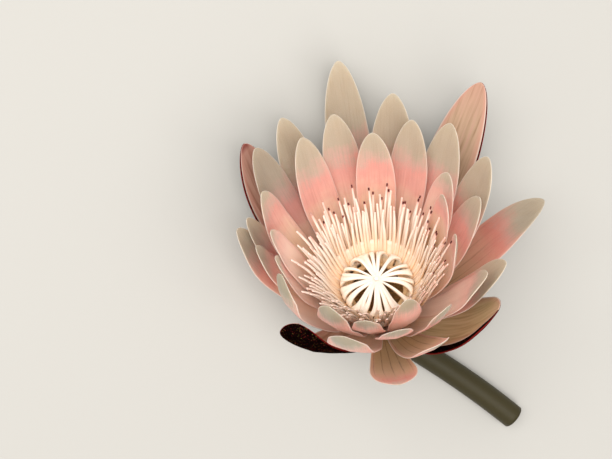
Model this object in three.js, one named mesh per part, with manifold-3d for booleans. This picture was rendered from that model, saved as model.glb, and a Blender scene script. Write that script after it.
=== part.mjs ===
// A tropical water lily bloom, picked with a short length of its stalk and laid down on a flat surface.
// Millimetres. The bloom is built upright round its own axis, with the foot of the sepals at height 0,
// and the whole bloom is then leaned over until it rests on the backs of its lowest sepals and petals.
import * as THREE from "three";
import { mergeVertices } from "three/addons/utils/BufferGeometryUtils.js";
import Module from "manifold-3d";

const wasm = await Module();
wasm.setup();

const degree = Math.PI / 180;

// ---- Driving dimensions ----

// How the flower lies: its axis leans from upright towards +Y, with the petals of lowAzimuth underneath.
const lean = 46;
const lowAzimuth = 106;

// Whorls are counted by rank from the sepals (0) to the innermost petals (7). Each rank grows higher on the
// seed cup than the one outside it, leaves the cup less flat and stands more upright at its tip.
const footRadius = 9;
const footRadiusStep = 0.43;
const footHeightStep = 1.8;
const leaveAngle = 84;
const leaveAngleStep = 4.6;
const tipAngle = 21;
const tipAngleStep = 2.4;

// The bloom is a little more closed on one side, where its blades leave the cup steeper.
const closedSide = 235;
const closedBy = 14;
const closedRanks = 8;

// Blade thickness, the foot's share of the full width, how closely the blade is cupped round the axis, and
// the share of its length at which it is widest.
const sepalForm = { thickness: 1.3, claw: 0.5, cupping: 0.85, widest: 0.47 };
const petalForm = { thickness: 0.8, claw: 0.45, cupping: 0.8, widest: 0.56 };

// Azimuth round the axis in degrees, length and width in millimetres, how many degrees further than its rank
// the tip opens (less than 0: it stands more upright), and how far the tip sways sideways in millimetres.
// A blade with roll is turned about its midrib by so many degrees, which lifts one edge.
const sepals = [
  { azimuth: 60, length: 90, width: 20, rank: 0, opening: 0, sway: -7 },
  { azimuth: 142, length: 82, width: 18, rank: 0, opening: -12, sway: 0 },
  { azimuth: 226, length: 57, width: 21.5, rank: 0.2, opening: -23.5, sway: 0, roll: 26 },
  { azimuth: 331, length: 58, width: 24, rank: 0, opening: 2.5, sway: 0 },
];

const petals = [
  { azimuth: 18, length: 66, width: 16, rank: 1, opening: 44.5, sway: 0 },
  { azimuth: 100, length: 90, width: 16, rank: 1, opening: -1, sway: 0 },
  { azimuth: 174, length: 66, width: 15, rank: 1, opening: -1.5, sway: 0 },
  { azimuth: 278, length: 64, width: 16, rank: 1, opening: 19, sway: 0 },
  { azimuth: 34, length: 69, width: 15.5, rank: 2, opening: 0, sway: 0 },
  { azimuth: 81, length: 76, width: 16.4, rank: 2, opening: 0, sway: 0 },
  { azimuth: 125, length: 76, width: 15, rank: 2, opening: 2, sway: 0 },
  { azimuth: 168, length: 62, width: 12, rank: 1.8, opening: 3.5, sway: 0 },
  { azimuth: 299, length: 58, width: 15, rank: 2, opening: 11.5, sway: 0 },
  { azimuth: 350, length: 56, width: 15, rank: 2, opening: 14, sway: 0 },
  { azimuth: 54, length: 70, width: 15.5, rank: 3, opening: 4, sway: 0 },
  { azimuth: 144, length: 75, width: 15, rank: 3, opening: 0, sway: 0 },
  { azimuth: 212, length: 64, width: 15, rank: 3.3, opening: 3.5, sway: 0 },
  { azimuth: 255, length: 60, width: 17, rank: 3, opening: 18.5, sway: 0 },
  { azimuth: 22, length: 54, width: 14, rank: 4, opening: 11.5, sway: 0 },
  { azimuth: 70, length: 67, width: 14.2, rank: 4, opening: 0, sway: 0 },
  { azimuth: 106, length: 69, width: 14.4, rank: 4, opening: 2, sway: 0 },
  { azimuth: 161, length: 65, width: 15, rank: 3.9, opening: -2, sway: 0 },
  { azimuth: 183, length: 58, width: 12, rank: 2.6, opening: 7.5, sway: 0 },
  { azimuth: 311, length: 50, width: 13.2, rank: 4.4, opening: 19, sway: 0 },
  { azimuth: 340, length: 52, width: 14, rank: 3.7, opening: 17.5, sway: 0 },
  { azimuth: 126, length: 65, width: 14, rank: 5, opening: 5, sway: 0 },
  { azimuth: 242, length: 55, width: 14, rank: 5, opening: 18, sway: 0 },
  { azimuth: 282, length: 52, width: 13, rank: 5.3, opening: 36.5, sway: 0 },
  { azimuth: 194, length: 53, width: 13, rank: 4.8, opening: 14.5, sway: 0 },
  { azimuth: 39, length: 54, width: 13, rank: 6, opening: 3.5, sway: 0 },
  { azimuth: 88, length: 60, width: 14, rank: 6, opening: 0, sway: 0 },
  { azimuth: 181, length: 54, width: 13, rank: 6.2, opening: 22.5, sway: 0 },
  { azimuth: 264, length: 49, width: 11.2, rank: 6.6, opening: 35, sway: 0 },
  { azimuth: 360, length: 46, width: 13, rank: 6, opening: -3.5, sway: 0 },
  { azimuth: 28, length: 49, width: 11, rank: 7, opening: -4, sway: 0 },
  { azimuth: 293, length: 46, width: 12, rank: 7, opening: 18, sway: 0 },
];

// The outer stamens stand in rows inside the petals, and the inner ones arch over the seed cup.
const outerRows = [
  { count: 27, rank: 8.2, length: 33, opening: 22 },
  { count: 26, rank: 8.65, length: 31, opening: 21 },
  { count: 25, rank: 9.1, length: 28, opening: 20 },
  { count: 24, rank: 9.55, length: 25, opening: 18 },
];
const splayedSide = 225;
const splayedBy = 16;
const stamenWidth = 2.0;
const stamenThickness = 0.8;
const innerCount = 30;
const domeRadius = 12.5;
const domeTop = 25;

// The seed cup that everything grows from, and the stalk under it.
const cupFoot = -1.6;
const cupShoulder = 13.2;
const cupRim = 15.8;
const cupRimRadius = 10.4;
const stigmaRays = 16;
const stalkRadius = 4.5;
const stalkReach = 71;
const stalkTurn = 35;
const stalkPressed = 0.3;
const stalkSides = 12;
const canalDepth = 4;
const gap = 0.3;

// ---- Shared shapes ----

// A closed solid through a row of sections. A section is a loop of points: along its front from left to
// right, then along its back from right to left.
function loft(sections) {
  const count = sections[0].length;
  const half = count / 2;
  const faces = [];
  for (let s = 0; s + 1 < sections.length; s++) {
    for (let i = 0; i < count; i++) {
      const j = (i + 1) % count;
      const [a, b, c, d] = [s * count + i, s * count + j, (s + 1) * count + j, (s + 1) * count + i];
      faces.push(...(i < half ? [a, c, b, a, d, c] : [a, d, b, b, d, c]));
    }
  }
  const last = (sections.length - 1) * count;
  for (let i = 0; i + 1 < half; i++) {
    const [a, b, c, d] = [i, i + 1, count - 2 - i, count - 1 - i];
    faces.push(a, c, d, a, b, c);
    faces.push(last + a, last + d, last + c, last + a, last + c, last + b);
  }
  const numbers = sections.flat().flatMap((point) => point.toArray());
  const geometry = new THREE.BufferGeometry();
  geometry.setAttribute("position", new THREE.Float32BufferAttribute(numbers, 3));
  geometry.setIndex(faces);
  return geometry;
}

function solidOf(geometry) {
  const bare = geometry.clone();
  bare.deleteAttribute("normal");
  bare.deleteAttribute("uv");
  const merged = mergeVertices(bare, 1e-4);
  const mesh = new wasm.Mesh({
    numProp: 3,
    vertProperties: new Float32Array(merged.attributes.position.array),
    triVerts: new Uint32Array(merged.index.array),
  });
  return new wasm.Manifold(mesh);
}

function geometryOf(solid) {
  const mesh = solid.getMesh();
  const geometry = new THREE.BufferGeometry();
  geometry.setAttribute("position", new THREE.Float32BufferAttribute(mesh.vertProperties, 3));
  geometry.setIndex(new THREE.BufferAttribute(mesh.triVerts, 1));
  return geometry;
}

function meshOf(name, geometry, material) {
  const flat = geometry.index ? geometry.toNonIndexed() : geometry;
  flat.computeVertexNormals();
  const mesh = new THREE.Mesh(flat, material);
  mesh.name = name;
  return mesh;
}

// ---- Sepals and petals ----

const lengthSteps = 9;
const widthSteps = 4;

// The midrib in the plane through the flower's axis, as distance from the axis, height, and the angle from
// the axis at which it runs. It leaves the seed cup nearly flat and bends upright.
function midrib({ length, rank, opening, azimuth = closedSide + 180 }, along) {
  const nearness = Math.max(0, (Math.cos((azimuth - closedSide) * degree) + 0.3) / 1.3);
  const closing = (closedBy * nearness * rank * (closedRanks - rank)) / (closedRanks / 2) ** 2;
  const leave = leaveAngle - leaveAngleStep * rank - closing;
  const tip = tipAngle - tipAngleStep * rank;
  const angleAt = (t) => (tip + (leave - tip) * (1 - t) ** 2 + opening * t ** 2) * degree;
  const pieces = 24;
  let radius = footRadius + footRadiusStep * Math.min(rank, 7);
  let height = footHeightStep * rank;
  for (let i = 0; i < pieces; i++) {
    const angle = angleAt((along * (i + 0.5)) / pieces);
    radius += (Math.sin(angle) * length * along) / pieces;
    height += (Math.cos(angle) * length * along) / pieces;
  }
  return { radius, height, angle: angleAt(along) };
}

// Half the blade's width: a narrow claw that widens to past the middle, then a blunt point.
function halfWidth(width, claw, widest, along) {
  const share =
    along < widest
      ? claw + (1 - claw) * Math.sin((Math.PI / 2) * (along / widest))
      : Math.max(0.06, 1 - ((along - widest) / (1 - widest)) ** 2) ** 0.62;
  return (width / 2) * share;
}

function bladeGeometry(blade, { thickness, claw, cupping, widest }) {
  const sections = [];
  for (let i = 0; i <= lengthSteps; i++) {
    const along = 1 - (1 - i / lengthSteps) ** 1.25;
    const { radius, height, angle } = midrib(blade, along);
    const bend = (cupping * radius) / Math.cos(angle);
    const roll = (blade.roll ?? 0) * degree * Math.min(1, 2.5 * along);
    const front = [];
    const back = [];
    for (let j = 0; j <= widthSteps; j++) {
      const across = halfWidth(blade.width, claw, widest, along) * ((2 * j) / widthSteps - 1);
      const turn = across / bend;
      const lift = bend * (1 - Math.cos(turn));
      const wrap = (across ** 2 / (2 * footRadius)) * (1 - along) ** 4;
      for (const [row, offset] of [[front, thickness / 2], [back, -thickness / 2]]) {
        const rise = lift + offset * Math.cos(turn);
        const reach = (bend - offset) * Math.sin(turn);
        const inward = rise * Math.cos(roll) + reach * Math.sin(roll);
        const sideways = reach * Math.cos(roll) - rise * Math.sin(roll);
        row.push(
          new THREE.Vector3(
            radius - inward * Math.cos(angle) - wrap * Math.sin(angle),
            sideways + blade.sway * along ** 2,
            height + inward * Math.sin(angle) - wrap * Math.cos(angle),
          ),
        );
      }
    }
    sections.push([...front, ...back.reverse()]);
  }
  return loft(sections);
}

const sepalMaterial = new THREE.MeshStandardMaterial({ color: 0x3a1519, roughness: 0.5, metalness: 0 });
const petalMaterial = new THREE.MeshStandardMaterial({ color: 0xebaa96, roughness: 0.6, metalness: 0 });

function blades() {
  const group = new THREE.Group();
  sepals.forEach((sepal, i) => {
    const mesh = meshOf(`sepal_${i + 1}`, bladeGeometry(sepal, sepalForm), sepalMaterial);
    mesh.rotation.z = sepal.azimuth * degree;
    group.add(mesh);
  });
  petals.forEach((petal, i) => {
    const number = String(i + 1).padStart(2, "0");
    const mesh = meshOf(`petal_${number}`, bladeGeometry(petal, petalForm), petalMaterial);
    mesh.rotation.z = petal.azimuth * degree;
    group.add(mesh);
  });
  return group;
}

// ---- Stamens ----

const upright = new THREE.Vector3(0, 0, 1);

// A flat strap along points in the plane through the axis, turned to its azimuth.
function strap(points, widths, thickness, azimuth, sideways = 0) {
  const sections = points.map((point, i) => {
    const before = points[Math.max(i - 1, 0)];
    const after = points[Math.min(i + 1, points.length - 1)];
    const run = new THREE.Vector2().subVectors(after, before).normalize();
    const corner = (side, inward) => {
      const x = point.x - run.y * inward;
      const y = side * widths[i] / 2 + sideways * (i / (points.length - 1)) ** 2;
      return new THREE.Vector3(x, y, point.y + run.x * inward).applyAxisAngle(upright, azimuth);
    };
    const deep = thickness / 2;
    return [corner(-1, deep), corner(1, deep), corner(1, -deep), corner(-1, -deep)];
  });
  return solidOf(loft(sections));
}

// A ring turned round the axis from a closed outline of distances from the axis and heights.
function ring(outline) {
  const points = outline.map(([x, y]) => new THREE.Vector2(x, y));
  return solidOf(new THREE.LatheGeometry(points, 36).rotateX(Math.PI / 2));
}

const stamenMaterial = new THREE.MeshStandardMaterial({ color: 0xfff0e1, roughness: 0.65, metalness: 0 });

function outerStamens() {
  const packed = [0, 0.12, 0.24];
  const bandFace = (rank, alongs) => alongs.map((along) => midrib({ length: 33, rank, opening: 0 }, along));
  const bandOutline = [...bandFace(7.9, packed), ...bandFace(9.9, packed.toReversed())];
  let solid = ring([...bandOutline, bandOutline[0]].map(({ radius, height }) => [radius, height]));
  outerRows.forEach((row, rowIndex) => {
    for (let i = 0; i < row.count; i++) {
      const draw = (n) => THREE.MathUtils.seededRandom(1000 * rowIndex + 10 * i + n + 1) - 0.5;
      const length = row.length * (1 + 0.16 * draw(1));
      const azimuth = ((i + (rowIndex % 2) / 2 + 0.3 * draw(3)) / row.count) * 2 * Math.PI;
      const sideOpening = splayedBy * Math.max(0, Math.cos(azimuth - splayedSide * degree));
      const shape = { length, rank: row.rank, opening: row.opening + sideOpening + 7 * draw(2) };
      const points = [0.15, 0.45, 0.72, 1].map((along) => {
        const { radius, height } = midrib(shape, along);
        return new THREE.Vector2(radius, height);
      });
      const widths = [0.95, 0.95, 0.75, 0.5].map((share) => share * stamenWidth);
      solid = solid.add(strap(points, widths, stamenThickness, azimuth, 3 * draw(4)));
    }
  });
  return meshOf("outer_stamens", geometryOf(solid), stamenMaterial);
}

function innerStamens() {
  const [inner, outer, bottom, top] = [9, 10.9, cupRim + gap, cupRim + 2];
  let solid = ring([[inner, bottom], [outer, bottom], [outer, top], [inner, top], [inner, bottom]]);
  const apex = new THREE.CylinderGeometry(2.6, 2.6, 1.2, 12);
  apex.rotateX(Math.PI / 2).translate(0, 0, domeTop - 0.6);
  solid = solid.add(solidOf(apex));
  for (let i = 0; i < innerCount; i++) {
    const draw = THREE.MathUtils.seededRandom(i + 77) - 0.5;
    const crown = domeTop + 0.8 * draw;
    const points = [
      new THREE.Vector2(10.2, cupRim + 1.2),
      new THREE.Vector2(domeRadius - 0.3, cupRim + 3.8),
      new THREE.Vector2(domeRadius - 0.9, crown - 2.8),
      new THREE.Vector2(domeRadius - 5, crown - 0.4),
      new THREE.Vector2(2, domeTop - 0.6),
    ];
    const widths = [2, 2.2, 2.1, 1.5, 0.5];
    solid = solid.add(strap(points, widths, 1.1, ((i + 0.3 * draw) / innerCount) * 2 * Math.PI));
  }
  return meshOf("inner_stamens", geometryOf(solid), stamenMaterial);
}

// ---- Seed cup with its stigma ----

const cupMaterial = new THREE.MeshStandardMaterial({ color: 0x8a6a2c, roughness: 0.6, metalness: 0 });

// The cup is turned as one body. Its hollow top carries the stigma: raised rays that run to a middle knob.
function seedCup() {
  const sides = 2 * stigmaRays;
  const outline = [
    [0, cupFoot],
    [5, cupFoot],
    [7.4, -1.2],
    [8.1, 0],
    [10.9, cupShoulder],
    [10.6, cupRim - 1],
    [cupRimRadius, cupRim],
    [8.2, cupRim - 0.6],
    [4, cupRim - 1.8],
    [2, cupRim - 1.8],
    [0, cupRim - 0.4],
  ];
  const points = outline.map(([x, y]) => new THREE.Vector2(x, y));
  const turned = new THREE.LatheGeometry(points, sides).rotateX(Math.PI / 2);
  const place = turned.attributes.position;
  for (let i = 0; i < place.count; i++) {
    const radius = Math.hypot(place.getX(i), place.getY(i));
    const onStigma = place.getZ(i) > cupRim - 2 && radius > 3 && radius < cupRimRadius - 1;
    const ray = Math.cos(stigmaRays * Math.atan2(place.getY(i), place.getX(i)));
    if (onStigma) place.setZ(i, place.getZ(i) + 0.35 * ray);
  }
  return meshOf("seed_cup", geometryOf(solidOf(turned)), cupMaterial);
}

// ---- Stalk ----

const stalkMaterial = new THREE.MeshStandardMaterial({ color: 0x5a5038, roughness: 0.5, metalness: 0 });

// The stalk runs on from under the seed cup, bends down to the surface and lies along it to its cut end.
// Air canals open in the cut, and its underside is pressed a little flat where it lies.
function stalk(bloom) {
  const axis = new THREE.Vector3(0, 0, 1).applyEuler(bloom.rotation);
  const start = bloom.position.clone().addScaledVector(axis, cupFoot - gap);
  const away = new THREE.Vector3(Math.sin(stalkTurn * degree), -Math.cos(stalkTurn * degree), 0);
  const end = new THREE.Vector3(bloom.position.x, bloom.position.y, 0).addScaledVector(away, stalkReach);
  end.z = stalkRadius - stalkPressed;
  const route = new THREE.CubicBezierCurve3(
    start,
    start.clone().addScaledVector(axis, -17),
    end.clone().addScaledVector(away, -42),
    end,
  );
  const rim = Array.from({ length: stalkSides }, (_, i) => (i / stalkSides) * 2 * Math.PI);
  const section = new THREE.Shape(
    rim.map((angle) => new THREE.Vector2(stalkRadius * Math.cos(angle), stalkRadius * Math.sin(angle))),
  );
  const settings = { extrudePath: route, steps: 18, bevelEnabled: false };
  let solid = solidOf(new THREE.ExtrudeGeometry(section, settings));
  const floor = wasm.Manifold.cube([400, 400, 20], true).translate([0, 0, -10]);
  solid = solid.subtract(floor);
  const canalCount = 4;
  for (let i = 0; i <= canalCount; i++) {
    const spread = i < canalCount ? 2.1 : 0;
    const bore = i < canalCount ? 0.95 : 0.5;
    const angle = ((i + 0.5) / canalCount) * 2 * Math.PI;
    const canal = new THREE.CylinderGeometry(bore, bore, 2 * canalDepth, 8);
    canal.translate(spread * Math.cos(angle), 0, spread * Math.sin(angle));
    canal.rotateZ(Math.PI + stalkTurn * degree).translate(end.x, end.y, end.z);
    solid = solid.subtract(solidOf(canal));
  }
  return meshOf("stalk", geometryOf(solid), stalkMaterial);
}

// ---- The flower as it lies ----

const bloom = new THREE.Group();
bloom.add(blades(), seedCup(), outerStamens(), innerStamens());
bloom.rotation.set(-lean * degree, 0, (90 - lowAzimuth) * degree);
bloom.position.z = -new THREE.Box3().setFromObject(bloom, true).min.z;

const flower = new THREE.Group();
flower.add(bloom, stalk(bloom));

const bounds = new THREE.Box3().setFromObject(flower, true);
const middle = bounds.getCenter(new THREE.Vector3());
flower.position.set(-middle.x, -middle.y, -bounds.min.z);

export default flower;
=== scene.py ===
import math
import random

import bmesh
import bpy
from mathutils import Matrix, Vector


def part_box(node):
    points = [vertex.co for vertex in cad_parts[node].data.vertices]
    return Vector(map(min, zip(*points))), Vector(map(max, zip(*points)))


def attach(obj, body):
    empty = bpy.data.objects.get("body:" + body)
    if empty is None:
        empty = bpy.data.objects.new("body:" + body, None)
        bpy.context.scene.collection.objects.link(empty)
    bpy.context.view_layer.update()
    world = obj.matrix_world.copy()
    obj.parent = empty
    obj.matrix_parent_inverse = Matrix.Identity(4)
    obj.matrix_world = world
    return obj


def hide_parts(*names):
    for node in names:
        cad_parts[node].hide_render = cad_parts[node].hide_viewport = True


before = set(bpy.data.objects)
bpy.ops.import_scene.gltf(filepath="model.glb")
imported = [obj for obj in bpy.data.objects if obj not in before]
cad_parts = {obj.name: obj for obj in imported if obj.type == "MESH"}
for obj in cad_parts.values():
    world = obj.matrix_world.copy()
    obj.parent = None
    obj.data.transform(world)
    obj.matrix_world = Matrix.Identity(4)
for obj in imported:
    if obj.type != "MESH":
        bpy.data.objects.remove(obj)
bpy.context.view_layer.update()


# ---- Seed cup and stigma ----
# The cup under the stamens that every petal grows from: green-brown flesh, turned round the bloom's axis. Its
# colour is painted darker than that flesh, as the shade it lies in under the dome and the petals.
# Its hollow top is the stigma, sixteen raised rays round a middle knob, seen only through the dome's gaps.

MM = 0.001  # in metres: the sizes below are in millimetres, in the bloom's own frame, with its axis upright
LEAN = 46  # degrees between the bloom's axis and upright
LOW_AZIMUTH = 106  # the side of the bloom that lies lowest, in degrees round its axis
turned = (
    Matrix.Rotation(math.radians(-LEAN), 3, "X") @ Matrix.Rotation(math.radians(90 - LOW_AZIMUTH), 3, "Z")
)
cup_outline = [  # distance from the axis, height
    (0, -1.6), (3, -1.6), (5, -1.55), (7.4, -1.2), (8.1, 0), (9.3, 5), (10.3, 9.5), (10.9, 13.2),
    (10.6, 14.8), (10.35, 15.5), (9.9, 15.6), (8.2, 15.2), (6.8, 14.7), (5.4, 14.3), (4, 14.0),
    (2.8, 14.0), (1.8, 14.5), (0.9, 15.3), (0, 15.4),
]
CUP_SIDES = 192
STIGMA_RAYS = 16
RAY_HEIGHT = 0.45
RAYS_FROM, RAYS_TO = 2, 9.6  # distances from the axis
STIGMA_FLOOR = 13.9


def spun_middle(outline, axis):
    """The middle of the box of a turned piece, from its outline and the direction of its axis."""
    middle = []
    for part in axis:
        side = math.sqrt(1 - part * part)
        reach = [h * part + s * r * side for r, h in outline for s in (-1, 1)]
        middle.append((min(reach) + max(reach)) / 2)
    return Vector(middle)


bloom_axis = turned @ Vector((0, 0, 1))
low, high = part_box("seed_cup")
origin = (Vector(low) + Vector(high)) / 2 - spun_middle(cup_outline, bloom_axis) * MM
bloom_place = Matrix.Translation(origin) @ turned.to_4x4() @ Matrix.Scale(MM, 4)


def add_piece(name, points, faces, material, nodes, facts=None, place=bloom_place):
    """A smooth mesh from points in millimetres. facts are vectors, one for each point, for its material."""
    mesh = bpy.data.meshes.new(name)
    mesh.from_pydata([place @ Vector(p) for p in points], [], faces)
    mesh.validate()
    for key, values in (facts or {}).items():
        stored = mesh.attributes.new(key, "FLOAT_VECTOR", "POINT")
        stored.data.foreach_set("vector", [number for value in values for number in value])
    mesh.polygons.foreach_set("use_smooth", [True] * len(mesh.polygons))
    mesh.materials.append(material)
    made = bpy.data.objects.new(name, mesh)
    bpy.context.scene.collection.objects.link(made)
    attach(made, "root")
    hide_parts(*nodes)
    return made


def new_finish(
    name, roughness, specular, sheen=0.0, soak=0.0, soak_depth=0.002, soak_colour=(1.0, 0.5, 0.3)
):
    """A material, its node tree and its shader. soak is the share of light that sinks into the flesh,
    soak_depth how far it goes, in metres, and soak_colour how far each colour goes of that."""
    material = bpy.data.materials.new(name)
    material.use_nodes = True
    shader = material.node_tree.nodes["Principled BSDF"]
    shader.inputs["Roughness"].default_value = roughness
    shader.inputs["Specular IOR Level"].default_value = specular
    shader.inputs["Sheen Weight"].default_value = sheen
    shader.inputs["Subsurface Weight"].default_value = soak
    shader.inputs["Subsurface Radius"].default_value = soak_colour
    shader.inputs["Subsurface Scale"].default_value = soak_depth
    return material, material.node_tree, shader


def put(tree, kind, settings=None, **sockets):
    """A shader node. A socket is called by its name, or n0, n1 and so on by its place, and its value is
    a number, a colour or another node's output."""
    made = tree.nodes.new("ShaderNode" + kind)
    for key, value in (settings or {}).items():
        setattr(made, key, value)
    for key, value in sockets.items():
        key = key.replace("_", " ")
        socket = made.inputs[int(key[1:])] if key[0] == "n" and key[1:].isdigit() else made.inputs[key]
        if isinstance(value, bpy.types.NodeSocket):
            tree.links.new(value, socket)
        else:
            socket.default_value = value
    return made


def sum_up(tree, how, a, b=0.0, clamp=False):
    """A sum of numbers or outputs, of the kind that how names. clamp keeps it between 0 and 1."""
    return put(tree, "Math", {"operation": how, "use_clamp": clamp}, n0=a, n1=b).outputs[0]


def plus(tree, a, b, clamp=False):
    return sum_up(tree, "ADD", a, b, clamp)


def times(tree, a, b, clamp=False):
    return sum_up(tree, "MULTIPLY", a, b, clamp)


def ramp(tree, share, stops):
    """Colours along a share from 0 to 1. stops are (share, colour), in display colours from 0 to 255."""
    made = put(tree, "ValToRGB", Fac=share)
    elements = made.color_ramp.elements
    while len(elements) < len(stops):
        elements.new(0.5)
    for element, (at, colour) in zip(elements, stops):
        element.position = at
        element.color = paint(colour)
    return made.outputs[0]


def paint(colour):
    """A display colour from 0 to 255 as the linear colour that a shader takes."""
    shares = [c / 255 for c in colour]
    linear = [s / 12.92 if s <= 0.04045 else ((s + 0.055) / 1.055) ** 2.4 for s in shares]
    return (*linear, 1)


def mix(tree, share, first, second, how="MIX"):
    """The second colour laid over the first by a share."""
    return put(tree, "MixRGB", {"blend_type": how}, Fac=share, Color1=first, Color2=second).outputs[0]


def read(tree, key):
    """The three numbers of a stored vector."""
    stored = put(tree, "Attribute", {"attribute_name": key})
    parts = put(tree, "SeparateXYZ", Vector=stored.outputs["Vector"]).outputs
    return parts[0], parts[1], parts[2]


def turned_mesh(outline, sides, shape=None):
    """Points and faces of an outline turned round the axis. shape may move a point."""
    points, faces = [], []
    for i in range(sides):
        angle = 2 * math.pi * i / sides
        for r, h in outline[1:-1]:
            point = Vector((r * math.cos(angle), r * math.sin(angle), h))
            points.append(shape(point) if shape else point)
    rows = len(outline) - 2
    foot, top = len(points), len(points) + 1
    points += [Vector((0, 0, outline[0][1])), Vector((0, 0, outline[-1][1]))]
    for i in range(sides):
        j = (i + 1) % sides
        faces += [(i * rows + k, j * rows + k, j * rows + k + 1, i * rows + k + 1) for k in range(rows - 1)]
        faces += [(foot, j * rows, i * rows), (top, i * rows + rows - 1, j * rows + rows - 1)]
    return points, faces


def raise_ray(point):
    """Lifts or sinks a point of the cup's hollow top, so that the rays of the stigma stand on it."""
    radius = point.xy.length
    if point.z > STIGMA_FLOOR and RAYS_FROM < radius < RAYS_TO:
        ripple = math.cos(STIGMA_RAYS * math.atan2(point.y, point.x))
        point.z += RAY_HEIGHT * ripple * min(1, (radius - RAYS_FROM) / 2)
    return point


cup_finish, tree, shader = new_finish("seed_cup_flesh", roughness=0.6, specular=0.3, soak=0.1)
fleck = put(tree, "TexNoise", Scale=900.0, Detail=4.0, Roughness=0.6)
# Painted darker than the flesh is: the shade in the hollow under the dome, seen through its slits.
cup_flesh_and_shade = ramp(tree, fleck.outputs[0], [(0.3, (70, 44, 18)), (0.55, (122, 86, 40)), (0.8, (168, 132, 78))])
tree.links.new(cup_flesh_and_shade, shader.inputs["Base Color"])
bump = put(tree, "Bump", Strength=0.4, Distance=0.0002, Height=fleck.outputs[0])
tree.links.new(bump.outputs[0], shader.inputs["Normal"])
cup_points, cup_faces = turned_mesh(cup_outline, CUP_SIDES, raise_ray)
add_piece("seed_cup_flesh", cup_points, cup_faces, cup_finish, ["seed_cup"])


# ---- Petals ----
# Thirty-two separate petals in whorls: thin, fleshy blades that leave the cup nearly flat and bend upright.
# Each is cupped and goes from tan through coral pink to a greenish grey tip, with a fine pale rim.

PETAL_THICKNESS = 0.8
petal_form = (PETAL_THICKNESS, 0.45, 0.8, 0.56)  # thickness, claw's share of the width, cupping, widest share
CLOSED_SIDE = 235  # the side, in degrees round the axis, where the middle ranks leave the cup more upright
CLOSED_BY = 14
CLOSED_RANKS = 8
LEAVE_ANGLE, LEAVE_ANGLE_STEP = 84, 4.6  # of a blade from the axis at its foot, and less for each rank
TIP_ANGLE, TIP_ANGLE_STEP = 21, 2.4
FOOT_RADIUS, FOOT_RADIUS_STEP, FOOT_HEIGHT_STEP = 9, 0.43, 1.8
BLUNTNESS = 0.58  # of a blade's point, blunter as it nears 0
HOOD_FROM = 0.65  # the share of a blade's length where its tip starts to curl in
HOOD_LIFT = 2.0
MOST_FOLD, FOLD_GAIN = 0.6, 1.5  # how much deeper the cupping gets under the curl
MIDRIB_DEPTH, MIDRIB_WIDTH = 0.2, 1.1
BLADE_ROWS, BLADE_COLUMNS = 60, 22
# A petal's azimuth, length, width, rank, how far its tip opens, curl of the tip, millimetres of grey at the
# tip, share of tan and grooves inside, and how much paler it is than the rest, partly painted light on those
# that lie in shade, or below zero how much darker, painted shade on those that the lamps light too brightly.
petal_list = [
    (18, 66, 16, 1, 44.5, 0.3, 17, 0.6, -1),
    (100, 90, 16, 1, -1, 0, 36, 0, 0),
    (174, 66, 15, 1, -1.5, 0.6, 17, 0, 0),
    (278, 64, 16, 1, 19, 0.2, 3, 1, -0.5),
    (34, 69, 15.5, 2, 0, 0.1, 25, 0, 0),
    (81, 76, 16.4, 2, 0, 0, 27, 0, 0),
    (125, 76, 15, 2, 2, 0, 27, 0, 0),
    (168, 62, 12, 1.8, 3.5, 0.5, 16, 0, 0),
    (299, 58, 15, 2, 11.5, 0.4, 3, 0.8, 0),
    (350, 56, 15, 2, 14, 0.3, 23, 0.4, 0.5),
    (54, 70, 15.5, 3, 4, 0.2, 23, 0, 0),
    (144, 75, 15, 3, 0, 0.1, 27, 0, -0.7),
    (212, 64, 15, 3.3, 3.5, 2.8, 9, 0.2, 1.0),
    (255, 60, 17, 3, 18.5, 2.4, 6, 0.3, 0.6),
    (22, 54, 14, 4, 11.5, 0.2, 13, 0, 0),
    (70, 67, 14.2, 4, 0, 0.1, 20, 0, 0),
    (106, 69, 14.4, 4, 2, 0, 20, 0, 0),
    (161, 65, 15, 3.9, -2, 0.2, 9, 0, 0),
    (183, 58, 12, 2.6, 7.5, 1.0, 12, 0, 0.6),
    (311, 50, 13.2, 4.4, 19, 1.4, 4, 0.5, 0.4),
    (340, 52, 14, 3.7, 17.5, 0.6, 13, 0.2, 0.9),
    (126, 65, 14, 5, 5, 0.1, 18, 0, 0),
    (242, 55, 14, 5, 18, 2.4, 6, 0.2, 1.0),
    (282, 52, 13, 5.3, 36.5, 2.4, 4, 0.2, 0.9),
    (194, 53, 13, 4.8, 14.5, 1.2, 9, 0.1, 0.9),
    (39, 54, 13, 6, 3.5, 0.1, 8, 0, 0.6),
    (88, 60, 14, 6, 0, 0, 14, 0, 0),
    (181, 54, 13, 6.2, 22.5, 1.6, 5, 0, 0.7),
    (264, 49, 11.2, 6.6, 35, 2.2, 4, 0, 0.9),
    (360, 46, 13, 6, -3.5, 0.3, 5, 0, 0.4),
    (28, 49, 11, 7, -4, 0.1, 4, 0, 0),
    (293, 46, 12, 7, 18, 2.0, 4, 0, 0.9),
]


def midrib(length, rank, opening, along, azimuth=CLOSED_SIDE + 180):
    """Distance from the axis, height and running angle at a share of a blade's length."""
    nearness = max(0, (math.cos(math.radians(azimuth - CLOSED_SIDE)) + 0.3) / 1.3)
    closing = CLOSED_BY * nearness * rank * (CLOSED_RANKS - rank) / (CLOSED_RANKS / 2) ** 2
    leave = LEAVE_ANGLE - LEAVE_ANGLE_STEP * rank - closing
    tip = TIP_ANGLE - TIP_ANGLE_STEP * rank
    pieces = 24

    def angle_at(t):
        return math.radians(tip + (leave - tip) * (1 - t) ** 2 + opening * t ** 2)

    radius = FOOT_RADIUS + FOOT_RADIUS_STEP * min(rank, 7)
    height = FOOT_HEIGHT_STEP * rank
    for i in range(pieces):
        angle = angle_at(along * (i + 0.5) / pieces)
        radius += math.sin(angle) * length * along / pieces
        height += math.cos(angle) * length * along / pieces
    return radius, height, angle_at(along)


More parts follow.
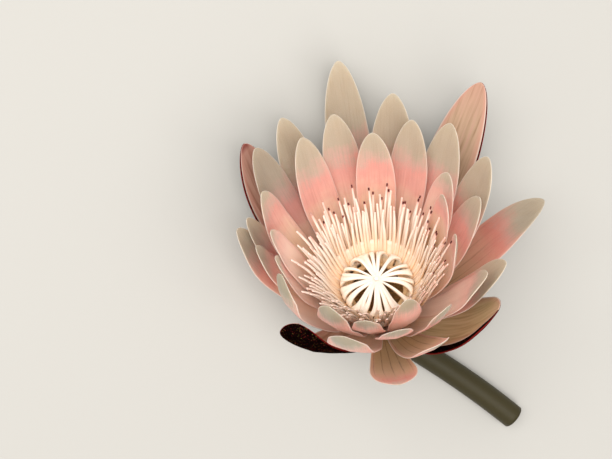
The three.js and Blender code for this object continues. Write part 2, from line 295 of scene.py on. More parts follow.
def half_width(width, claw, widest, along):
    """A narrow claw that widens to about the middle, then a blunt point."""
    if along < widest:
        return width / 2 * (claw + (1 - claw) * math.sin(math.pi / 2 * along / widest))
    return width / 2 * max(0.0, 1 - ((along - widest) / (1 - widest)) ** 2) ** BLUNTNESS


def blade(azimuth, length, width, rank, opening, hood, form, sway, seed, wave=0.35, roll=0):
    """Points, faces and stored facts of one blade, front and back joined at the rim."""
    thickness, claw, cupping, widest = form
    turn_round = Matrix.Rotation(math.radians(azimuth), 3, "Z")
    points, flow, part = [], [], []
    front, back = {}, {}
    drift = random.Random(seed)
    phase, waves, drift_over = drift.uniform(0, 6.28), drift.uniform(1.6, 2.6), drift.uniform(-0.5, 0.5)
    for i in range(BLADE_ROWS + 1):
        along = 1 - (1 - i / BLADE_ROWS) ** 1.5
        radius, height, angle = midrib(length, rank, opening, along, azimuth)
        bend = cupping * radius / math.cos(angle)
        half = half_width(width, claw, widest, along)
        close = hood * max(0, (along - HOOD_FROM) / (1 - HOOD_FROM)) ** 2
        rolled = math.radians(roll) * min(1, 2.5 * along)
        for j in range(BLADE_COLUMNS + 1):
            side = math.sin(math.pi / 2 * (2 * j / BLADE_COLUMNS - 1))
            across = half * side
            turn = across / bend
            fold = FOLD_GAIN * min(close, MOST_FOLD)
            lift = bend * (1 - math.cos(turn)) * (1 + fold) + fold * (2 * across / width) ** 2
            lift += wave * side ** 2 * math.sin(waves * 2 * math.pi * along + phase) * along * (1 - along) * 3
            lift += HOOD_LIFT * close
            lift -= MIDRIB_DEPTH * math.exp(-((across / MIDRIB_WIDTH) ** 2)) * min(1, 4 * (1 - along))
            wrap = across ** 2 / (2 * FOOT_RADIUS) * (1 - along) ** 4
            edge = j in (0, BLADE_COLUMNS) or i in (0, BLADE_ROWS)
            body = math.sqrt(max(0.0, 1 - side ** 6)) * min(1, 0.35 + 6 * (1 - along))
            for grid, facing in ((front, 1), (back, -1)):
                if edge and facing < 0:
                    back[i, j] = front[i, j]
                    continue
                offset = 0 if edge else facing * thickness / 2 * body
                rise, reach = lift + offset * math.cos(turn), (bend - offset) * math.sin(turn)
                inward = rise * math.cos(rolled) + reach * math.sin(rolled)
                sideways = reach * math.cos(rolled) - rise * math.sin(rolled)
                point = turn_round @ Vector((
                    radius - inward * math.cos(angle) - wrap * math.sin(angle),
                    sideways + sway * along ** 2 + drift_over * along ** 3,
                    height + inward * math.sin(angle) - wrap * math.cos(angle),
                ))
                grid[i, j] = len(points)
                points.append(point)
                flow.append((across, length * along, seed))
                part.append((side, along, 0.5 if edge else (1 - facing) / 2))
    faces = []
    for i in range(BLADE_ROWS):
        for j in range(BLADE_COLUMNS):
            corners = ((i, j), (i, j + 1), (i + 1, j + 1), (i + 1, j))
            faces.append([front[c] for c in corners])
            faces.append([back[c] for c in reversed(corners)])
    return points, faces, flow, part


def spread(tree, value, low, high, bottom=0.0, top=1.0):
    """The value's share of the way from low to high, as a number from bottom to top."""
    return put(tree, "MapRange", Value=value, n1=low, n2=high, n3=bottom, n4=top).outputs[0]


def sway_by(tree, texture, amount):
    """A texture's swing about its middle, so much to either side."""
    return times(tree, sum_up(tree, "SUBTRACT", texture.outputs[0], 0.5), amount)


petal_finish, tree, shader = new_finish(
    "petal_skin", roughness=0.6, specular=0.2, sheen=0.1,
    soak=0.6, soak_depth=0.0034, soak_colour=(1.0, 0.78, 0.66),
)
across, run, piece = read(tree, "flow")
side, along, behind = read(tree, "part")
grey_from, tan, pale_and_painted_light = read(tree, "tint")
edge_share = sum_up(tree, "ABSOLUTE", side)
stretched = put(
    tree, "CombineXYZ", X=times(tree, across, 1.9), Y=times(tree, run, 0.07), Z=times(tree, piece, 7.3)
)
veins = put(tree, "TexNoise", Vector=stretched.outputs[0], Scale=1.0, Detail=3.0, Roughness=0.55)
patch_place = put(tree, "CombineXYZ", X=across, Y=run, Z=times(tree, piece, 11.0))
patches = put(tree, "TexNoise", Vector=patch_place.outputs[0], Scale=0.14, Detail=4.0, Roughness=0.6)
grain = put(tree, "TexNoise", Vector=patch_place.outputs[0], Scale=3.0, Detail=4.0, Roughness=0.75)
# The zone goes from tan at the claw to grey at the tip, sooner on the back, in patches and along the veins.
zone = sum_up(tree, "SUBTRACT", along, grey_from)
zone = plus(tree, zone, sway_by(tree, patches, 0.22))
zone = plus(tree, zone, sway_by(tree, veins, 0.12))
zone = plus(tree, zone, times(tree, spread(tree, behind, 0.45, 0.6), 0.10))
zone = plus(tree, zone, 0.7, clamp=True)
skin = ramp(tree, zone, [
    (0.02, (214, 172, 122)), (0.22, (242, 206, 172)), (0.42, (244, 198, 174)), (0.54, (236, 170, 156)),
    (0.62, (228, 160, 148)), (0.70, (206, 168, 154)), (0.79, (184, 169, 149)), (1.0, (180, 165, 144)),
])
coral = ramp(tree, zone, [
    (0.02, (190, 160, 116)), (0.3, (216, 180, 138)), (0.5, (226, 164, 134)), (0.6, (232, 140, 120)),
    (0.69, (230, 162, 146)), (0.78, (194, 180, 158)), (1.0, (180, 166, 142)),
])
skin = mix(tree, tan, skin, coral)
# Thin brown grooves run along the tan ones, and fine pale grains and dark veins along them all.
groove = sum_up(tree, "SINE", plus(tree, times(tree, side, 7.6), sway_by(tree, veins, 0.9)))
groove = sum_up(tree, "POWER", sum_up(tree, "SUBTRACT", 1.0, sum_up(tree, "ABSOLUTE", groove)), 9.0)
groove = times(tree, groove, times(tree, spread(tree, along, 0.72, 0.45), tan))
skin = mix(tree, times(tree, groove, 0.95), skin, paint((108, 74, 40)))
skin = mix(tree, spread(tree, grain.outputs[0], 0.5, 0.8, 0.0, 0.3), skin, paint((240, 222, 202)))
dark_veins = spread(tree, veins.outputs[0], 0.52, 0.75, 0.0, 0.1)
skin = mix(tree, dark_veins, skin, paint((150, 110, 84)), "MULTIPLY")
# The paler ones are whitish pink below the grey, partly their own colour and partly painted light on those
# that lie in shade. The backs are greener, the edges rosy with a pale rim.
pale_and_painted_light_share = times(tree, pale_and_painted_light, spread(tree, zone, 0.75, 0.5, 0.0, 0.9), clamp=True)
skin = mix(tree, pale_and_painted_light_share, skin, paint((255, 214, 196)))
green_back = times(tree, spread(tree, behind, 0.5, 0.6), spread(tree, zone, 0.66, 0.82, 0.0, 0.85))
skin = mix(tree, green_back, skin, paint((154, 146, 124)))
rosy_edge = times(tree, spread(tree, edge_share, 0.72, 0.96), spread(tree, zone, 0.84, 0.66, 0.0, 0.5))
skin = mix(tree, rosy_edge, skin, paint((240, 168, 156)))
skin = mix(tree, spread(tree, edge_share, 0.955, 0.99, 0.0, 0.62), skin, paint((250, 228, 210)))
# They are all a little duller than those colours, and the darker ones duller still, which is painted shade
# on petals that the lamps light too brightly.
skin = mix(tree, 1.0, skin, paint((240, 240, 240)), "MULTIPLY")
skin = mix(tree, spread(tree, pale_and_painted_light, 0.0, -1.0, 0.0, 1.0), skin, paint((212, 214, 216)), "MULTIPLY")
tree.links.new(skin, shader.inputs["Base Color"])
height = plus(tree, veins.outputs[0], times(tree, grain.outputs[0], 0.3))
bump = put(tree, "Bump", Strength=0.2, Distance=0.0003, Height=height)
tree.links.new(bump.outputs[0], shader.inputs["Normal"])

for number, (azimuth, length, width, rank, opening, hood, grey, tan, pale_and_painted_light) in enumerate(petal_list, 1):
    points, faces, flow, part = blade(
        azimuth, length, width, rank, opening, hood, petal_form, sway=0, seed=number
    )
    tint = (1 - grey / length, tan, pale_and_painted_light)
    facts = {"flow": flow, "part": part, "tint": [tint] * len(points)}
    node = f"petal_{number:02d}"
    add_piece(node + "_blade", points, faces, petal_finish, [node], facts)


# ---- Sepals ----
# Four thicker, leathery blades under the petals that closed the bud. Inside they are pinkish beige with soft
# stripes and a rosy, then pale rim. Outside they are a near-black maroon with fine red and green-gold flecks.

SEPAL_THICKNESS = 1.3
sepal_form = (SEPAL_THICKNESS, 0.5, 0.85, 0.47)  # thickness, claw's share of the width, cupping, widest share
SEPAL_CURL = 0.1
SEPAL_WAVE = 0.2
# A sepal's azimuth, length, width, rank, how far its tip opens, sideways sway of the tip, roll, redness
# inside, olive inside, and width of the dark lip where the edge turns over, its sign saying which edge.
sepal_list = [
    (60, 90, 20, 0, 0, -7, 0, 0.0, 0.0, -0.06),
    (142, 82, 18, 0, -12, 0, 0, 0.7, 0.0, 0.07),
    (226, 57, 21.5, 0.2, -23.5, 0, 26, 0.5, 0.3, 0.02),
    (331, 58, 24, 0, 2.5, 0, 0, 0.0, 0.9, -0.34),
]
sepal_finish, tree, shader = new_finish("sepal_skin", roughness=0.8, specular=0.0, soak=0.0)
across, run, piece = read(tree, "flow")
side, along, behind = read(tree, "part")
redness, olive, lip = read(tree, "tint")
edge_share = sum_up(tree, "ABSOLUTE", side)
stretched = put(
    tree, "CombineXYZ", X=times(tree, across, 0.9), Y=times(tree, run, 0.035), Z=times(tree, piece, 5.1)
)
stripes = put(tree, "TexNoise", Vector=stretched.outputs[0], Scale=1.0, Detail=3.0, Roughness=0.6)
inside = ramp(tree, stripes.outputs[0], [
    (0.32, (166, 130, 100)), (0.46, (196, 160, 130)), (0.6, (206, 168, 140)), (0.74, (210, 164, 142)),
])
inside = mix(tree, olive, inside, ramp(tree, stripes.outputs[0], [
    (0.3, (194, 160, 114)), (0.5, (218, 184, 136)), (0.7, (230, 198, 152)),
]))
inside = mix(tree, redness, inside, ramp(tree, stripes.outputs[0], [
    (0.3, (182, 118, 100)), (0.5, (210, 148, 128)), (0.7, (224, 168, 148)),
]))
inside = mix(tree, spread(tree, along, 0.8, 0.98, 0.0, 0.35), inside, paint((214, 146, 132)))
red_tip = times(tree, redness, spread(tree, along, 0.955, 0.985))
inside = mix(tree, red_tip, inside, paint((130, 30, 32)))
# The inside ends in a rosy, then pale rim, where it meets the edge or the lip that is turned over.
lip_width = sum_up(tree, "ABSOLUTE", lip)
lip_side = times(tree, side, sum_up(tree, "SIGN", lip))
turned_over = sum_up(tree, "SUBTRACT", plus(tree, lip_side, lip_width), 1.0)
to_rim = sum_up(tree, "MAXIMUM", edge_share, plus(tree, turned_over, 1.0))
inside = mix(tree, spread(tree, to_rim, 0.7, 0.92, 0.0, 0.38), inside, paint((228, 152, 138)))
inside = mix(tree, spread(tree, to_rim, 0.92, 0.98, 0.0, 0.8), inside, paint((240, 212, 194)))
inside = mix(tree, 1.0, inside, paint((232, 236, 240)), "MULTIPLY")
# The outside has small flecks, more of them where the skin is lighter, and a red edge.
fleck_place = put(tree, "CombineXYZ", X=across, Y=times(tree, run, 0.6), Z=piece)
flecks = put(tree, "TexVoronoi", Vector=fleck_place.outputs[0], Scale=1.7, Randomness=1.0)
dark = put(tree, "TexNoise", Vector=fleck_place.outputs[0], Scale=0.35, Detail=5.0, Roughness=0.7)
outside = ramp(tree, dark.outputs[0], [(0.35, (6, 2, 2)), (0.55, (13, 4, 4)), (0.75, (30, 9, 8))])
fleck_colour = ramp(tree, put(tree, "SeparateColor", Color=flecks.outputs["Color"]).outputs[0], [
    (0.3, (116, 30, 28)), (0.5, (150, 52, 40)), (0.7, (112, 100, 50)),
])
fleck_spot = spread(tree, flecks.outputs["Distance"], 0.34, 0.16)
fleck_amount = times(tree, fleck_spot, spread(tree, dark.outputs[0], 0.42, 0.62, 0.05, 0.8))
outside = mix(tree, fleck_amount, outside, fleck_colour)
outside = mix(tree, spread(tree, edge_share, 0.96, 0.99, 0.0, 0.7), outside, paint((132, 34, 32)))
turned_skin = spread(tree, turned_over, -0.004, 0.01)
outer_skin = sum_up(tree, "MAXIMUM", spread(tree, behind, 0.5, 0.6), turned_skin)
tree.links.new(mix(tree, outer_skin, inside, outside), shader.inputs["Base Color"])
bump = put(tree, "Bump", Strength=0.3, Distance=0.0004, Height=stripes.outputs[0])
tree.links.new(bump.outputs[0], shader.inputs["Normal"])
for number, (azimuth, length, width, rank, opening, sway, roll, *tint) in enumerate(sepal_list, 1):
    points, faces, flow, part = blade(
        azimuth, length, width, rank, opening, SEPAL_CURL, sepal_form, sway,
        seed=100 + number, wave=SEPAL_WAVE, roll=roll,
    )
    facts = {"flow": flow, "part": part, "tint": [tint] * len(points)}
    add_piece(f"sepal_{number}_blade", points, faces, sepal_finish, [f"sepal_{number}"], facts)


# ---- Outer stamens ----
# Some two hundred slender, waxy filaments inside the petals, packed at their feet into a smooth cream band,
# which rises where they splay. Above it they stand free. The outermost end in thin rosy tips, many with a
# tiny dark red point.

outer_rows = [  # how many, rank, length, how far the tip opens
    (27, 8.2, 33, 22), (26, 8.65, 31, 21), (25, 9.1, 28, 20), (24, 9.55, 25, 18),
]
SPLAYED_SIDE = math.radians(225)  # the side where they lean furthest out
SPLAYED_BY = 16
POINTED_SIDE = math.radians(78)  # the side where most of them have a dark point
POINTED_ROWS = 2
SHORTER_BETWEEN, DEEPER_BETWEEN = 4.0, 0.2  # of the ones that stand between a row's own
STAMEN_WIDTH = 1.35
stamen_widths = [1.1, 1.05, 0.95, 0.9, 0.85, 0.7, 0.5]  # shares of that width, from foot to tip
stamen_depths = [0.8, 0.8, 0.8, 0.8, 0.7, 0.5, 0.3]
STAMEN_STEPS = 16
PLACE_SPREAD, LENGTH_SPREAD, OPENING_SPREAD, SWAY_SPREAD, WIDTH_SPREAD = 0.3, 0.24, 7, 3, 0.3
BAND_SIDES = 432
BAND_LENGTH = 33
BAND_OUTER_RANK, BAND_INNER_RANK = 7.9, 9.9
BAND_TOP, BAND_RISE = 0.24, 0.26  # shares of its length, the rise where it splays
BAND_SPLAYED_BY = 24
band_levels = (0, 0.25, 0.5, 0.75, 1)
LOW_BITS = 0xFFFFFFFF


def even_draw(seed):
    """A number from -0.5 to 0.5 that is always the same for a seed, from a 32-bit hash."""
    t = (seed + 0x6D2B79F5) & LOW_BITS
    t = (t ^ (t >> 15)) * (t | 1) & LOW_BITS
    t ^= (t + ((t ^ (t >> 7)) * (t | 61) & LOW_BITS)) & LOW_BITS
    return ((t ^ (t >> 14)) & LOW_BITS) / 2 ** 32 - 0.5


def strap(path, widths, depths, sides=8):
    """Points, faces and shares (along, out to an edge) of a flat strap.

    path holds a middle point, the way it runs and the way its flat side faces for each step."""
    points, faces, shares = [], [], []
    for i, (point, run, inward) in enumerate(path):
        level = run.cross(inward).normalized()
        for k in range(sides):
            angle = 2 * math.pi * k / sides
            reach = math.copysign(abs(math.cos(angle)) ** 0.7, math.cos(angle))
            rise = math.sin(angle)
            points.append(point + level * reach * widths[i] / 2 + inward * rise * depths[i] / 2)
            shares.append((i / (len(path) - 1), abs(reach)))
    for i in range(len(path) - 1):
        for k in range(sides):
            n = (k + 1) % sides
            faces.append((i * sides + k, i * sides + n, (i + 1) * sides + n, (i + 1) * sides + k))
    faces.append(tuple(reversed(range(sides))))
    faces.append(tuple(range((len(path) - 1) * sides, len(path) * sides)))
    return points, faces, shares


def between(values, share):
    """The value at a share of the way along evenly spaced values."""
    at = min(share * (len(values) - 1), len(values) - 1.0001)
    i = int(at)
    return values[i] + (values[i + 1] - values[i]) * (at - i)


def ring_faces(start, sides, rows):
    """The faces of a closed ring with so many points in its section, which count from start."""
    made = []
    for i in range(sides):
        here, there = start + i * rows, start + (i + 1) % sides * rows
        for k in range(rows):
            n = (k + 1) % rows
            made.append((here + k, here + n, there + n, there + k))
    return made


stamen_finish, tree, shader = new_finish(
    "stamen_wax", roughness=0.45, specular=0.3, soak=0.15, soak_colour=(1.0, 0.8, 0.66)
)
share, tipped, out = read(tree, "strap")
blotch = put(tree, "TexNoise", Scale=700.0, Detail=3.0, Roughness=0.6)
# The wax is golden at the foot, painted shade where the filaments stand packed, then cream up to a pinkish
# tip.
wax = ramp(tree, share, [
    (0.0, (232, 186, 140)), (0.2, (250, 220, 192)), (0.42, (251, 228, 208)), (0.7, (254, 240, 228)),
    (1.0, (252, 222, 208)),
])
wax = mix(tree, spread(tree, blotch.outputs[0], 0.45, 0.7, 0.0, 0.3), wax, paint((244, 212, 168)))
# Gold along the edges, strongest towards the feet, is painted shade: the shade in the gaps between the
# filaments.
painted_gap_shade = times(tree, spread(tree, out, 0.6, 1.0), spread(tree, share, 0.9, 0.3, 0.1, 0.85))
wax = mix(tree, painted_gap_shade, wax, paint((214, 162, 100)))
rosy = times(tree, spread(tree, share, 0.72, 0.93, 0.0, 0.8), spread(tree, tipped, 0.2, 0.6))
wax = mix(tree, rosy, wax, paint((242, 178, 162)))
tip = times(tree, spread(tree, share, 0.91, 0.935), spread(tree, tipped, 0.8, 0.9))
tree.links.new(mix(tree, tip, wax, paint((86, 22, 20))), shader.inputs["Base Color"])
bump = put(tree, "Bump", Strength=0.3, Distance=0.0002, Height=blotch.outputs[0])
tree.links.new(bump.outputs[0], shader.inputs["Normal"])

points, faces, facts = [], [], []


def add_strap(made, tipped=0.0, edges=1.0):
    """Adds a strap to the piece. tipped is 0.5 for a rosy end or 1 for a dark point, edges how much painted
    shade lies along its sides.
    """
    new_points, new_faces, shares = made
    start = len(points)
    points.extend(new_points)
    faces.extend([tuple(start + k for k in face) for face in new_faces])
    facts.extend([(share, tipped, out * edges) for share, out in shares])


def stamen(row, place, seed, shorter=0.0, deeper=0.0):
    """One filament of a row, at a place counted round it, that much shorter and that much further in."""
    count, rank, row_length, row_opening = outer_rows[row]
    draw = [even_draw(seed + n + 1) for n in range(6)]
    azimuth = (place + (row % 2) / 2 + PLACE_SPREAD * draw[3]) / count * 2 * math.pi
    splayed = max(0, math.cos(azimuth - SPLAYED_SIDE))
    length = row_length * (1 + LENGTH_SPREAD * draw[1]) - shorter
    opening = row_opening + SPLAYED_BY * splayed + OPENING_SPREAD * draw[2]
    spin = Matrix.Rotation(azimuth, 3, "Z")
    broad = 1 + WIDTH_SPREAD * draw[5] + 0.25 * splayed
    path, widths, depths = [], [], []
    for s in range(STAMEN_STEPS + 1):
        along = 0.02 + 0.98 * (1 - (1 - s / STAMEN_STEPS) ** 1.3)
        radius, height, angle = midrib(length, rank + deeper, opening, along)
        middle = spin @ Vector((radius, SWAY_SPREAD * draw[4] * along ** 2, height))
        run = spin @ Vector((math.sin(angle), 0, math.cos(angle)))
        inward = spin @ Vector((-math.cos(angle), 0, math.sin(angle)))
        path.append((middle, run, inward))
        widths.append(STAMEN_WIDTH * broad * between(stamen_widths, along))
        depths.append(between(stamen_depths, along))
    tipped = 0.0
    if row < POINTED_ROWS:
        tipped = 1.0 if draw[0] > 0.2 - 0.35 * math.cos(azimuth - POINTED_SIDE) else 0.5
    # Those that splay out get less of the painted shade along their edges.
    add_strap(strap(path, widths, depths), tipped * (1 - 0.8 * splayed), edges=1 - 0.5 * splayed)


for row, (count, *_) in enumerate(outer_rows):
    for i in range(count):
        stamen(row, i, 1000 * row + 10 * i)
        stamen(row, i + 0.5, 5000 + 1000 * row + 10 * i, SHORTER_BETWEEN, DEEPER_BETWEEN)
start = len(points)
for i in range(BAND_SIDES):
    angle = 2 * math.pi * i / BAND_SIDES
    splayed = max(0, math.cos(angle - SPLAYED_SIDE))
    top = BAND_TOP + BAND_RISE * splayed * (1 + 0.25 * math.sin(27 * angle))
    swell = 0.12 * abs(math.sin(36 * angle)) - 0.06
    for rank, levels in ((BAND_OUTER_RANK, band_levels), (BAND_INNER_RANK, band_levels[::-1])):
        for share in levels:
            leaned = 0.9 * splayed * share if rank == BAND_INNER_RANK else 0
            r, h, _ = midrib(BAND_LENGTH, rank - leaned, BAND_SPLAYED_BY * splayed, top * share)
            points.append(Vector(((r - swell) * math.cos(angle), (r - swell) * math.sin(angle), h)))
            facts.append((0.3 + 0.2 * share * splayed, 0, 0))
faces += ring_faces(start, BAND_SIDES, 2 * len(band_levels))
add_piece("outer_stamen_ring", points, faces, stamen_finish, ["outer_stamens"], {"strap": facts})


# ---- Inner stamens ----
# Thirty white, waxy straps that stand round the rim of the seed cup, bend over it and meet in the middle, so
# that they close it under a dome. They lean on each other unevenly, which leaves dark slits between some. A
# low knob fills the middle, and their feet grow from one ring.

INNER_COUNT = 30
DOME_RADIUS = 12.5
DOME_TOP = 25
CUP_RIM = 15.8
dome_widths = [2.0, 2.35, 2.5, 2.3, 1.75, 1.35, 1.1, 0.7]  # from foot to tip
dome_depths = [1.1, 1.2, 1.3, 1.3, 1.2, 1.0, 0.7]
DOME_SEEDS = (77, 401, 733)
DOME_STEPS = 7  # between two corners of its curve
CROWN_SPREAD, TURN_SPREAD, SLIP_SPREAD, BREADTH_SPREAD = 1.2, 0.5, 3.4, 0.65
STRAP_SIDES = 12
knob_outline = [(0, 23.9), (1.6, 23.9), (2.1, 24.1), (2.1, 24.3), (1.5, 24.5), (0, 24.6)]
KNOB_SIDES = 32
foot_outline = [(9.0, 16.1), (10.9, 16.1), (11.0, 17.0), (10.6, 17.8), (9.4, 17.8), (9.0, 17.0)]
FOOT_SIDES = 96
dome_finish, tree, shader = new_finish(
    "stamen_white", roughness=0.42, specular=0.3, soak=0.2, soak_colour=(1.0, 0.88, 0.78)
)
share, _, out = read(tree, "strap")
blotch = put(tree, "TexNoise", Scale=600.0, Detail=3.0, Roughness=0.6)
# The straps are tan at the foot, painted shade where they rise from the rim of the cup, and white above.
white = ramp(tree, share, [
    (0.0, (226, 180, 124)), (0.25, (248, 224, 194)), (0.45, (251, 240, 226)), (1.0, (252, 244, 232)),
])
white = mix(tree, spread(tree, blotch.outputs[0], 0.5, 0.75, 0.0, 0.3), white, paint((246, 216, 178)))
# Tan along the edges is painted shade, that of the slits between the straps.
white = mix(tree, spread(tree, out, 0.85, 1.0, 0.0, 0.6), white, paint((214, 170, 116)))
tree.links.new(white, shader.inputs["Base Color"])
bump = put(tree, "Bump", Strength=0.3, Distance=0.0002, Height=blotch.outputs[0])
tree.links.new(bump.outputs[0], shader.inputs["Normal"])


def curve_through(corners, steps):
    """A smooth line through corners in the plane of the axis."""
    ends = [2 * corners[0] - corners[1], *corners, 2 * corners[-1] - corners[-2]]
    line = []
    for i in range(1, len(ends) - 2):
        a, b, c, d = ends[i - 1:i + 3]
        for s in range(steps):
            t = s / steps
            line.append(0.5 * (
                2 * b + (c - a) * t + (2 * a - 5 * b + 4 * c - d) * t * t + (3 * b - a - 3 * c + d) * t ** 3
            ))
    line.append(corners[-1])
    return line


points, faces, facts = [], [], []
for i in range(INNER_COUNT):
    draw, slip, broad = [even_draw(i + seed) for seed in DOME_SEEDS]
    crown = DOME_TOP + CROWN_SPREAD * draw
    azimuth = (i + TURN_SPREAD * draw) / INNER_COUNT * 2 * math.pi
    azimuth += 0.06 * math.sin(5 * azimuth + 1.0) + 0.04 * math.sin(8 * azimuth)
    corners = [Vector(c) for c in (
        (10.2, CUP_RIM + 1.2), (DOME_RADIUS - 0.3, CUP_RIM + 3.8), (DOME_RADIUS - 0.9, crown - 2.8),
        (DOME_RADIUS - 5, crown - 0.4), (0.8, DOME_TOP - 0.4 + 0.4 * broad),
    )]
    line = curve_through(corners, DOME_STEPS)
    spin = Matrix.Rotation(azimuth, 3, "Z")
    path, widths, depths = [], [], []
    for s, place in enumerate(line):
        run = (line[min(s + 1, len(line) - 1)] - line[max(s - 1, 0)]).normalized()
        share = s / (len(line) - 1)
        sideways = SLIP_SPREAD * slip * math.sin(math.pi * min(1, max(0, (share - 0.25) / 0.75))) ** 1.5
        middle = spin @ Vector((place.x, sideways, place.y))
        path.append((middle, spin @ Vector((run.x, 0, run.y)), spin @ Vector((-run.y, 0, run.x))))
        widths.append(between(dome_widths, share) * (1 + BREADTH_SPREAD * broad))
        depths.append(between(dome_depths, share))
    add_strap(strap(path, widths, depths, STRAP_SIDES))
start = len(points)
knob, knob_faces = turned_mesh(knob_outline, KNOB_SIDES)
points += knob
faces += [tuple(start + k for k in face) for face in knob_faces]
facts += [(1.0, 0, 0)] * len(knob)
start = len(points)
for i in range(FOOT_SIDES):
    angle = 2 * math.pi * i / FOOT_SIDES
    points += [Vector((r * math.cos(angle), r * math.sin(angle), h)) for r, h in foot_outline]
    facts += [(0.05, 0, 0)] * len(foot_outline)
foot_faces = ring_faces(start, FOOT_SIDES, len(foot_outline))
faces += [(a, d, c, b) for a, b, c, d in foot_faces]  # turned to face out, as its outline runs the other way
add_piece("inner_stamen_dome", points, faces, dome_finish, ["inner_stamens"], {"strap": facts})


# ---- Stalk ----
# The round, fleshy stalk, olive brown and smooth. It bends from under the cup to the surface and lies along
# it to a straight cut, where its air canals open. It is pressed a little flat underneath.

STALK_RADIUS = 4.5
STALK_REACH = 71  # from under the cup to the cut, along the surface
STALK_TURN = math.radians(35)
STALK_PRESSED = 0.3
STALK_START = -1.9  # along the bloom's axis, just under the cup
NECK_RUN, LYING_RUN = 17, 42  # how far its two ends go before the bend tells
STALK_SIDES, STALK_STEPS = 48, 100
WIDE_CANALS = 4
canal_list = [(2.1, 0.95)] * WIDE_CANALS + [(0.0, 0.5)]  # distance from the middle, radius
CANAL_DEPTH = 4
RIND_RUN, CUT_MARK = 7, 8  # the rind's third number goes from 0 to the first, and the cut has the second
stalk_finish, tree, shader = new_finish("stalk_skin", roughness=0.45, specular=0.25, soak=0.05)
streak_place = put(tree, "Attribute", {"attribute_name": "rind"})
streaks = put(tree, "TexNoise", Vector=streak_place.outputs["Vector"], Scale=1.0, Detail=3.0, Roughness=0.5)
mottle = put(tree, "TexNoise", Scale=420.0, Detail=4.0, Roughness=0.7)
rind = ramp(tree, streaks.outputs[0], [(0.3, (40, 35, 16)), (0.5, (52, 46, 22)), (0.7, (64, 56, 30))])
rind = mix(tree, spread(tree, mottle.outputs[0], 0.5, 0.75, 0.0, 0.5), rind, paint((50, 38, 26)))
pith = ramp(tree, mottle.outputs[0], [(0.35, (150, 146, 98)), (0.65, (190, 184, 138))])
cut = put(tree, "SeparateXYZ", Vector=streak_place.outputs["Vector"]).outputs[2]
is_cut = spread(tree, cut, RIND_RUN + 0.4, CUT_MARK - 0.4)
tree.links.new(mix(tree, is_cut, rind, pith), shader.inputs["Base Color"])
bump = put(tree, "Bump", Strength=0.2, Distance=0.0002, Height=mottle.outputs[0])
tree.links.new(bump.outputs[0], shader.inputs["Normal"])

away = Vector((math.sin(STALK_TURN), -math.cos(STALK_TURN), 0))
cup_middle = origin / MM
start_point = cup_middle + bloom_axis * STALK_START
end_point = Vector((cup_middle.x, cup_middle.y, 0)) + away * STALK_REACH
end_point.z = STALK_RADIUS - STALK_PRESSED
a, b, c, d = start_point, start_point - bloom_axis * NECK_RUN, end_point - away * LYING_RUN, end_point
points, faces, rind_facts = [], [], []
level = bloom_axis.cross(away).normalized()
for s in range(STALK_STEPS + 1):
    t = s / STALK_STEPS
    place = a * (1 - t) ** 3 + b * 3 * t * (1 - t) ** 2 + c * 3 * t * t * (1 - t) + d * t ** 3
    run = ((b - a) * (1 - t) ** 2 + (c - b) * 2 * t * (1 - t) + (d - c) * t * t).normalized()
    upright = level.cross(run).normalized()
    for k in range(STALK_SIDES):
        angle = 2 * math.pi * k / STALK_SIDES
        swell = STALK_RADIUS * (1 + 0.01 * math.sin(9 * t + 2 * angle))
        point = place + (level * math.cos(angle) + upright * math.sin(angle)) * swell
        point.z = max(point.z, 0.0)
        points.append(point)
        rind_facts.append((2 * math.cos(angle), 2 * math.sin(angle), RIND_RUN * t))
for s in range(STALK_STEPS):
    for k in range(STALK_SIDES):
        n = (k + 1) % STALK_SIDES
        here, there = s * STALK_SIDES, (s + 1) * STALK_SIDES
        faces.append((here + k, there + k, there + n, here + n))
faces.append(tuple(range(STALK_SIDES)))
last = STALK_STEPS * STALK_SIDES
start = len(points)
for share in (0.97, 0.5):
    for k in range(STALK_SIDES):
        points.append(end_point + (points[last + k] - end_point) * share)
        rind_facts.append((0, 0, CUT_MARK))
for k in range(STALK_SIDES):
    n = (k + 1) % STALK_SIDES
    faces.append((last + k, start + k, start + n, last + n))
    faces.append((start + k, start + STALK_SIDES + k, start + STALK_SIDES + n, start + n))
faces.append(tuple(reversed(range(start + STALK_SIDES, start + 2 * STALK_SIDES))))
stalk = add_piece(
    "flower_stalk", points, faces, stalk_finish, ["stalk"], {"rind": rind_facts},
    place=Matrix.Scale(MM, 4),
)
canals = bmesh.new()
side_way = Vector((math.cos(STALK_TURN), math.sin(STALK_TURN), 0))
for i, (spread_out, bore) in enumerate(canal_list):
    angle = (i + 0.5) / WIDE_CANALS * 2 * math.pi
    rise = Vector((0, 0, spread_out * math.sin(angle)))
    middle = end_point + side_way * (spread_out * math.cos(angle)) + rise
    facing = Matrix.Translation(middle * MM) @ away.to_track_quat("Z", "Y").to_matrix().to_4x4()
    bmesh.ops.create_cone(
        canals, cap_ends=True, segments=24, radius1=bore * MM, radius2=bore * MM,
        depth=2 * CANAL_DEPTH * MM, matrix=facing,
    )
cutter_mesh = bpy.data.meshes.new("canals")
canals.to_mesh(cutter_mesh)
cutter = bpy.data.objects.new("canals", cutter_mesh)
bpy.context.scene.collection.objects.link(cutter)
boring = stalk.modifiers.new("canals", "BOOLEAN")
boring.object = cutter
boring.solver = "EXACT"
bpy.context.view_layer.update()
bored = bpy.data.meshes.new_from_object(stalk.evaluated_get(bpy.context.evaluated_depsgraph_get()))
stalk.modifiers.clear()
stalk.data = bored
bpy.data.objects.remove(cutter)


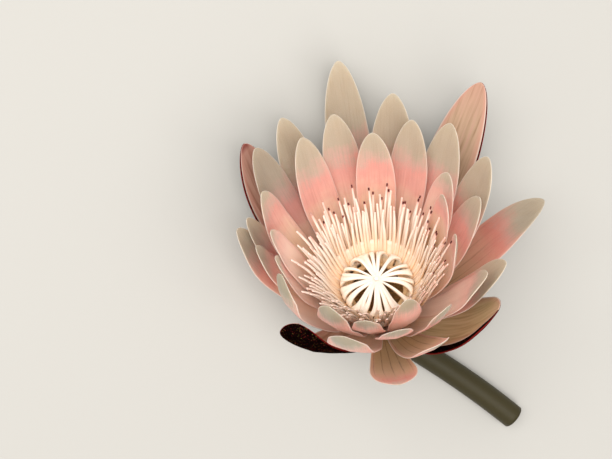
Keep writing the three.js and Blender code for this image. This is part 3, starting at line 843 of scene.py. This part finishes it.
# ---- Surface, light and camera ----
# A plain pale surface under the flower, broad soft daylight from overhead and from two opposite sides, and a
# camera that looks down into the bloom.

DAYLIGHT = (1.0, 0.985, 0.96)
LAMPS_FACE = Vector((0, 0, 0.04))  # the middle of the flower, in metres, as are the places below
FLOOR_SIZE = 6
CAMERA_FROM_CUP = Vector((-0.06703, 0.19496, 0.57653))
CAMERA_TURN = (-13.607, -8.510, -14.196)

bpy.ops.mesh.primitive_plane_add(size=FLOOR_SIZE, location=(0, 0, 0))
floor = bpy.context.object
floor.name = "floor"
floor_finish = bpy.data.materials.new("floor_paper")
floor_finish.use_nodes = True
floor_shader = floor_finish.node_tree.nodes["Principled BSDF"]
floor_shader.inputs["Base Color"].default_value = (0.44, 0.427, 0.40, 1)
floor_shader.inputs["Roughness"].default_value = 0.9
floor.data.materials.append(floor_finish)


def soft_light(name, place, size, power):
    """A square lamp of soft daylight that faces the bloom."""
    light = bpy.data.lights.new(name, "AREA")
    light.size = size
    light.energy = power
    light.color = DAYLIGHT
    lamp = bpy.data.objects.new(name, light)
    lamp.location = place
    lamp.rotation_euler = (LAMPS_FACE - Vector(place)).to_track_quat("-Z", "Y").to_euler()
    bpy.context.scene.collection.objects.link(lamp)


soft_light("window", (-0.45, 0.7, 1.25), 0.9, 13)
soft_light("overhead", (-0.05, 0.3, 1.3), 0.5, 7)
soft_light("fill", (0.3, -0.4, 1.3), 1.2, 9)
world = bpy.data.worlds.new("studio")
world.use_nodes = True
sky = world.node_tree.nodes["Background"]
sky.inputs["Color"].default_value = (*DAYLIGHT, 1)
sky.inputs["Strength"].default_value = 0.68
bpy.context.scene.world = world
bpy.context.scene.view_settings.view_transform = "Standard"

camera_data = bpy.data.cameras.new("camera")
camera_data.lens = 100
camera_data.sensor_width = 36
camera_data.clip_end = 20
camera = bpy.data.objects.new("camera", camera_data)
camera.location = origin + CAMERA_FROM_CUP
camera.rotation_euler = [math.radians(angle) for angle in CAMERA_TURN]
bpy.context.scene.collection.objects.link(camera)
bpy.context.scene.camera = camera
